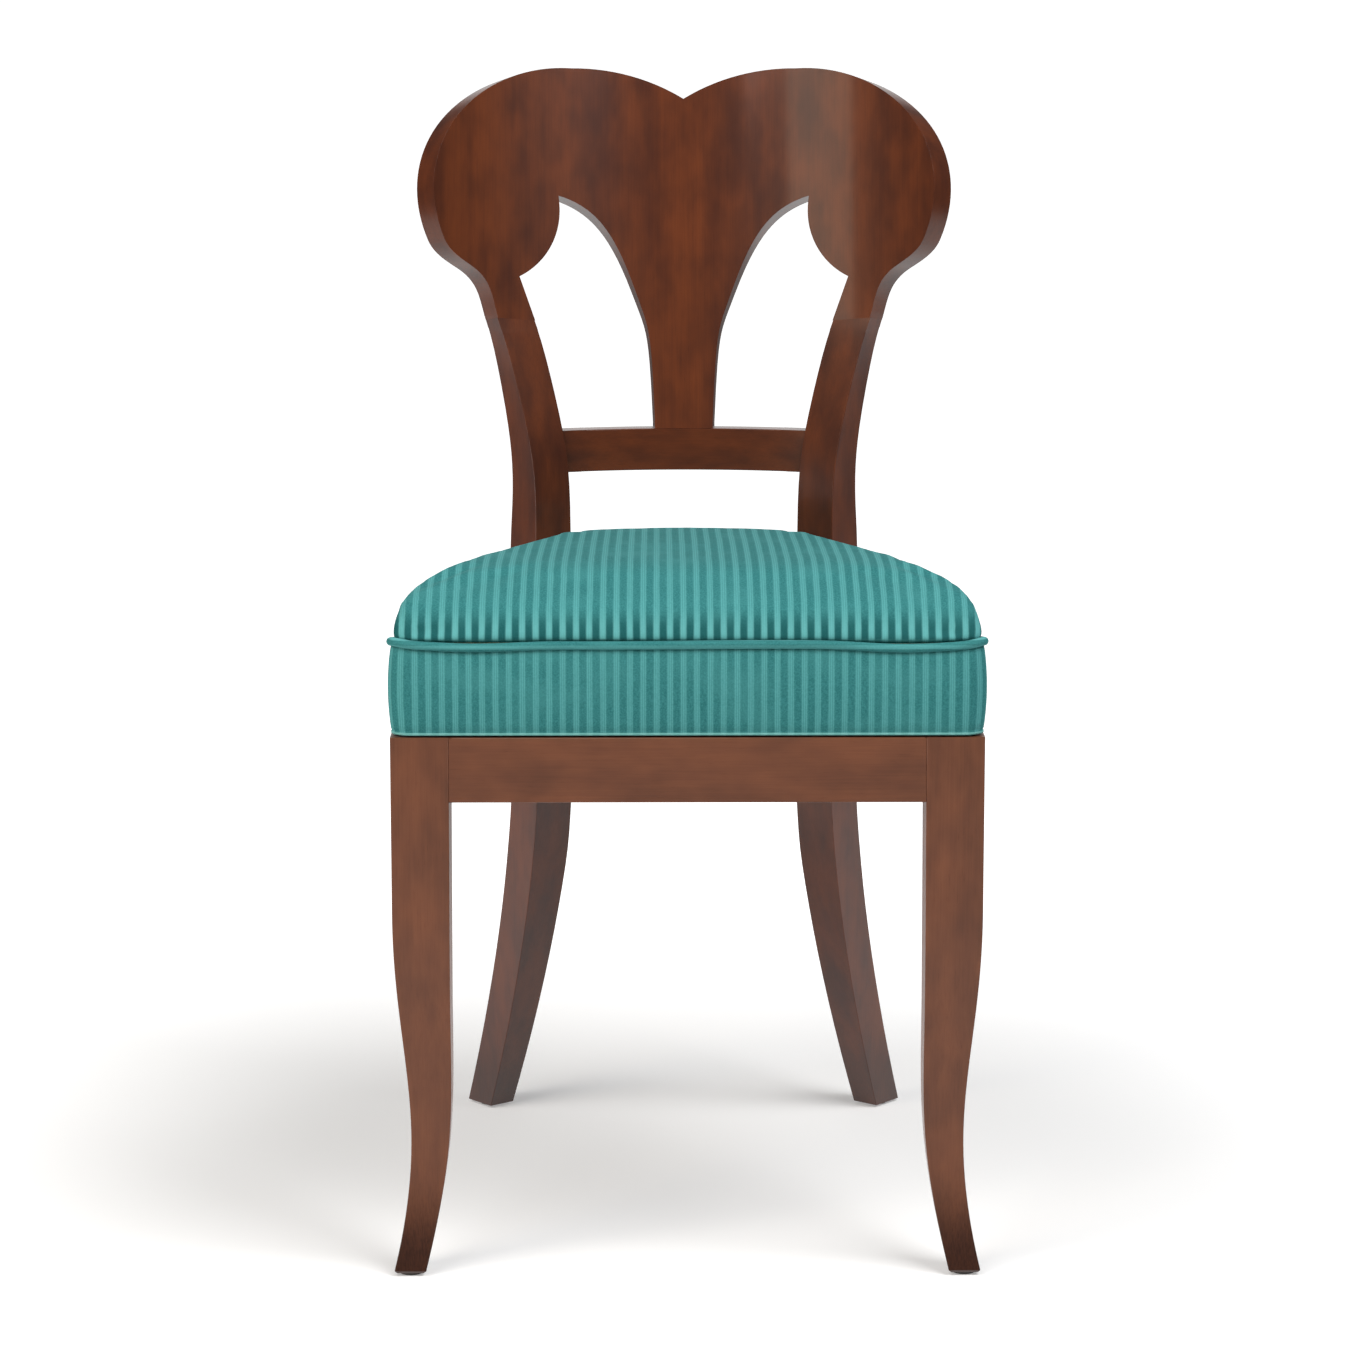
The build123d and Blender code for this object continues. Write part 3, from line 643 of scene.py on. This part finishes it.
def crown_ring(step, size=1.0):
    """The outline drawn in towards the middle, lifted and tilted, at a step up the dome."""
    across = (1 - crown_side_reach * step) * size
    along = (1 - crown_end_reach * step) * size
    share = dome_share(step) + (1 - crown_share) * (1 - size ** 2)
    ring = []
    for point in outline:
        y = (point.y - seat_middle.y) * along
        fall = y * sin(radians(crown_tilt * share))
        base = crown_base + seam_stray(point) * (1 - share)
        ring.append(Vector((point.x * across, seat_middle.y + y, base + crown_rise * share - fall)))
    return ring


def stuff(piece):
    """Remeshes the dome as cloth, lets the stuffing press it out from the sewn edge, and keeps that."""
    remesh = piece.modifiers.new("weave", "REMESH")
    remesh.mode = "VOXEL"
    remesh.voxel_size = cloth_voxel
    woven = bpy.data.meshes.new_from_object(piece.evaluated_get(bpy.context.evaluated_depsgraph_get()))
    piece.modifiers.clear()
    piece.data = woven
    sewn = piece.vertex_groups.new(name="sewn edge")
    for point in woven.vertices:
        if point.co.z < crown_base + seam_stray(point.co) + sewn_height:
            sewn.add([point.index], 1.0, "REPLACE")
    cloth = piece.modifiers.new("cloth", "CLOTH")
    cloth.settings.vertex_group_mass = sewn.name
    cloth.settings.use_pressure = True
    cloth.settings.uniform_pressure_force = cloth_pressure
    cloth.settings.effector_weights.gravity = 0
    for number in range(1, cloth_frames + 1):
        scene.frame_set(number)
    pressed = piece.evaluated_get(bpy.context.evaluated_depsgraph_get()).data
    for point, end in zip(woven.vertices, [point.co.copy() for point in pressed.vertices]):
        move = end - point.co
        point.co += move * min(1, cloth_travel / max(move.length, cloth_travel))
    piece.modifiers.clear()
    piece.vertex_groups.clear()
    scene.frame_set(1)
    woven.polygons.foreach_set("use_smooth", [True] * len(woven.polygons))


def count_stripes(piece):
    """Stores how far across the cloth each point is: out from the middle, then down the side."""
    across = piece.data.attributes.new("across", "FLOAT", "POINT")
    for point, spot in zip(piece.data.vertices, across.data):
        x, y, z = point.co
        share = (y - seat_front) / (seat_side.y - seat_front)
        edge = seat_front_half + (seat_side.x - seat_front_half) * share
        down_side = 1 - (1 - abs(x) / edge) / crown_side_reach
        counted = min(1, max(0, 2 * down_side))
        turned = min(1, max(0, (y - seat_front) / corner_ease)) ** corner_ease_power
        fall = max(0, ridge_height(y) - z - fall_slack)
        spot.value = x + copysign(fall * counted * turned, x)


def across_seat(place):
    return place.node("Attribute", {"attribute_name": "across"}, output="Fac")


def make_crown():
    rings = [crown_ring((step / crown_steps) ** crown_crowding) for step in range(crown_steps + 1)]
    rings += [crown_ring(1, size) for size in cap_sizes]
    velvet = striped_velvet("velvet_top", across_seat)
    piece = sewn_piece(stack(rings), "seat_top", velvet)
    stuff(piece)
    piece.data.materials.clear()
    piece.data.materials.append(velvet)
    count_stripes(piece)
    smooth = piece.modifiers.new("smooth", "SUBSURF")
    smooth.levels = 1
    smooth.render_levels = 1
    return piece


seat_top = make_crown()
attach(seat_top, "root")
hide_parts("seat_cover_top")


# Piping
# A cord in a strip of the velvet, sewn between the top and the side band all round the seat;
# it dips a little beside the front corners and stands up at their tips.
corner_poke = 0.0016           # outwards at the tips of the front corners
piping_waver = 0.0004
piping_waves = 7
strip_stretch = 1.6            # one stripe of the strip goes round the cord


def up_the_piping(place):
    return place.along("Z") * strip_stretch


def make_piping():
    path = bpy.data.curves.new("piping_path", "CURVE")
    path.dimensions = "3D"
    path.bevel_depth = piping_radius
    path.bevel_resolution = 4
    spline = path.splines.new("POLY")
    spline.points.add(len(outline) - 1)
    for i, (spot, point) in enumerate(zip(spline.points, outline)):
        waver = piping_waver * sin(2 * pi * piping_waves * i / len(outline))
        stray = seam_stray(point)
        lift = Vector((0, 0, piping_height + stray + waver))
        poke = corner_poke * max(0, stray / corner_lift)
        spot.co = (*(point + outward(i) * poke + lift), 1)
    spline.use_cyclic_u = True
    holder = bpy.data.objects.new("piping_path", path)
    data = bpy.data.meshes.new_from_object(holder)
    bpy.data.objects.remove(holder)
    mesh = bmesh.new()
    mesh.from_mesh(data)
    bpy.data.meshes.remove(data)
    return sewn_piece(mesh, "seat_piping_cord", striped_velvet("velvet_piping", up_the_piping))


piping = make_piping()
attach(piping, "root")
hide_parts("seat_piping")


# Dust cloth
# Thin black cloth in a plain weave that keeps dust out of the seat. It is stretched
# under the loose frame and tacked to it.
dust_colours = ((0.008, 0.008, 0.009), (0.03, 0.03, 0.032))
dust_thread = 0.0007
dust_inset = 0.93
dust_lift = 0.0008
dust_thickness = 0.0005
dust_low, dust_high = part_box("seat_dust_cover")


def make_dust_cloth():
    mesh = bmesh.new()
    edge = [seat_middle + (point - seat_middle) * dust_inset for point in outline]
    mesh.faces.new([mesh.verts.new((point.x, point.y, dust_low[2] + dust_lift)) for point in edge])
    flat_area = list(mesh.faces)[0].calc_area()
    cloth = woven_cloth("dust_cloth", dust_colours, dust_thread)
    piece = sewn_piece(mesh, "dust_cloth_under_seat", cloth)
    thickness = piece.modifiers.new("thickness", "SOLIDIFY")
    thickness.thickness = dust_thickness
    return piece, flat_area


dust_cloth, dust_area = make_dust_cloth()
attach(dust_cloth, "root")
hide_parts("seat_dust_cover")


# Stage
# A plain pale floor that whitens with distance and is mirrored only near the chair, soft studio
# lamps in a dim room, a white backdrop, and the camera where the photograph was taken from.
floor_size = 3000.0
floor_colour = (0.75, 0.75, 0.75, 1)
floor_near = 0.3               # how white the camera sees the floor beside the chair
floor_fade = (0.3, 1.4)        # distances over which it whitens
mirror_white = 0.75            # how white polish and steel mirror the floor
mirror_fade = (4.0, 1.6)       # distances over which that dies away
backdrop_edge = (0.82, 0.98)
room_colour = (0.11, 0.11, 0.11)
black = (0, 0, 0)
white = (1, 1, 1)
seat_centre = Vector((0, 0, 0.5))

floor_mesh = bmesh.new()
bmesh.ops.create_grid(floor_mesh, x_segments=1, y_segments=1, size=floor_size)
floor_finish, floor_surface, floor_place = new_finish("pale_floor")
to_camera = floor_place.node("LightPath", output="Is Camera Ray")
to_gloss = floor_place.node("LightPath", output="Is Glossy Ray")
to_glass = floor_place.node("LightPath", output="Is Transmission Ray")
distance = floor_place.node("VectorMath", {"operation": "LENGTH"}, {0: floor_place}, output="Value")
seen = to_camera * (distance.between(*floor_fade) * (1 - floor_near) + floor_near)
mirrored = to_gloss.math("MAXIMUM", to_glass) * distance.between(*mirror_fade) * mirror_white
fill_sockets(floor_surface, {
    "Base Color": floor_colour,
    "Roughness": 0.9,
    "Specular IOR Level": 0.0,
    "Emission Color": seen.math("MAXIMUM", mirrored).colour(black, white),
    "Emission Strength": 1.0,
})
floor = as_piece(floor_mesh, "floor", floor_finish)

world = bpy.data.worlds.new("studio")
world.use_nodes = True
direction = Shade(world.node_tree).node("TexCoord", output="Generated")
behind = direction.along("Y").between(*backdrop_edge)
backdrop = behind.math("MAXIMUM", direction.node("LightPath", output="Is Camera Ray"))
fill_sockets(world.node_tree.nodes["Background"], {"Color": backdrop.colour(room_colour, white)})
scene.world = world


def softbox(name, turn, lift, away, width, height, watts, tint=white):
    """A soft lamp aimed at the seat; turn is to the right of the camera's side, seen from above."""
    lamp = bpy.data.lights.new(name, "AREA")
    lamp.shape = "RECTANGLE"
    lamp.size = width
    lamp.size_y = height
    lamp.energy = watts
    lamp.color = tint
    holder = bpy.data.objects.new(name, lamp)
    level = cos(radians(lift))
    towards = Vector((sin(radians(turn)) * level, -cos(radians(turn)) * level, sin(radians(lift))))
    holder.location = seat_centre + towards * away
    holder.rotation_euler = towards.to_track_quat("Z", "Y").to_euler()
    scene.collection.objects.link(holder)


warm_white = (1, 0.86, 0.68)
softbox("left_high_lamp", turn=-42, lift=48, away=3.2, width=2.0, height=2.0, watts=48)
softbox("right_high_lamp", turn=50, lift=50, away=3.2, width=2.0, height=2.0, watts=96)
softbox("left_band_lamp", turn=-50, lift=20, away=2.6, width=1.0, height=2.4, watts=19, tint=warm_white)
softbox("left_floor_lamp", turn=-64, lift=-6, away=2.6, width=1.2, height=0.4, watts=12)

camera_tilt = 9.5
camera_turn = 0.373
camera_data = bpy.data.cameras.new("camera")
camera_data.sensor_width = 36.0
camera_data.lens = 108.46
camera_data.clip_end = 2 * floor_size
camera = bpy.data.objects.new("camera", camera_data)
camera.location = (-0.0215, -3.2648, 0.95435)
camera.rotation_euler = (radians(90 - camera_tilt), 0, -radians(camera_turn))
scene.collection.objects.link(camera)
scene.camera = camera
scene.view_settings.view_transform = "Standard"
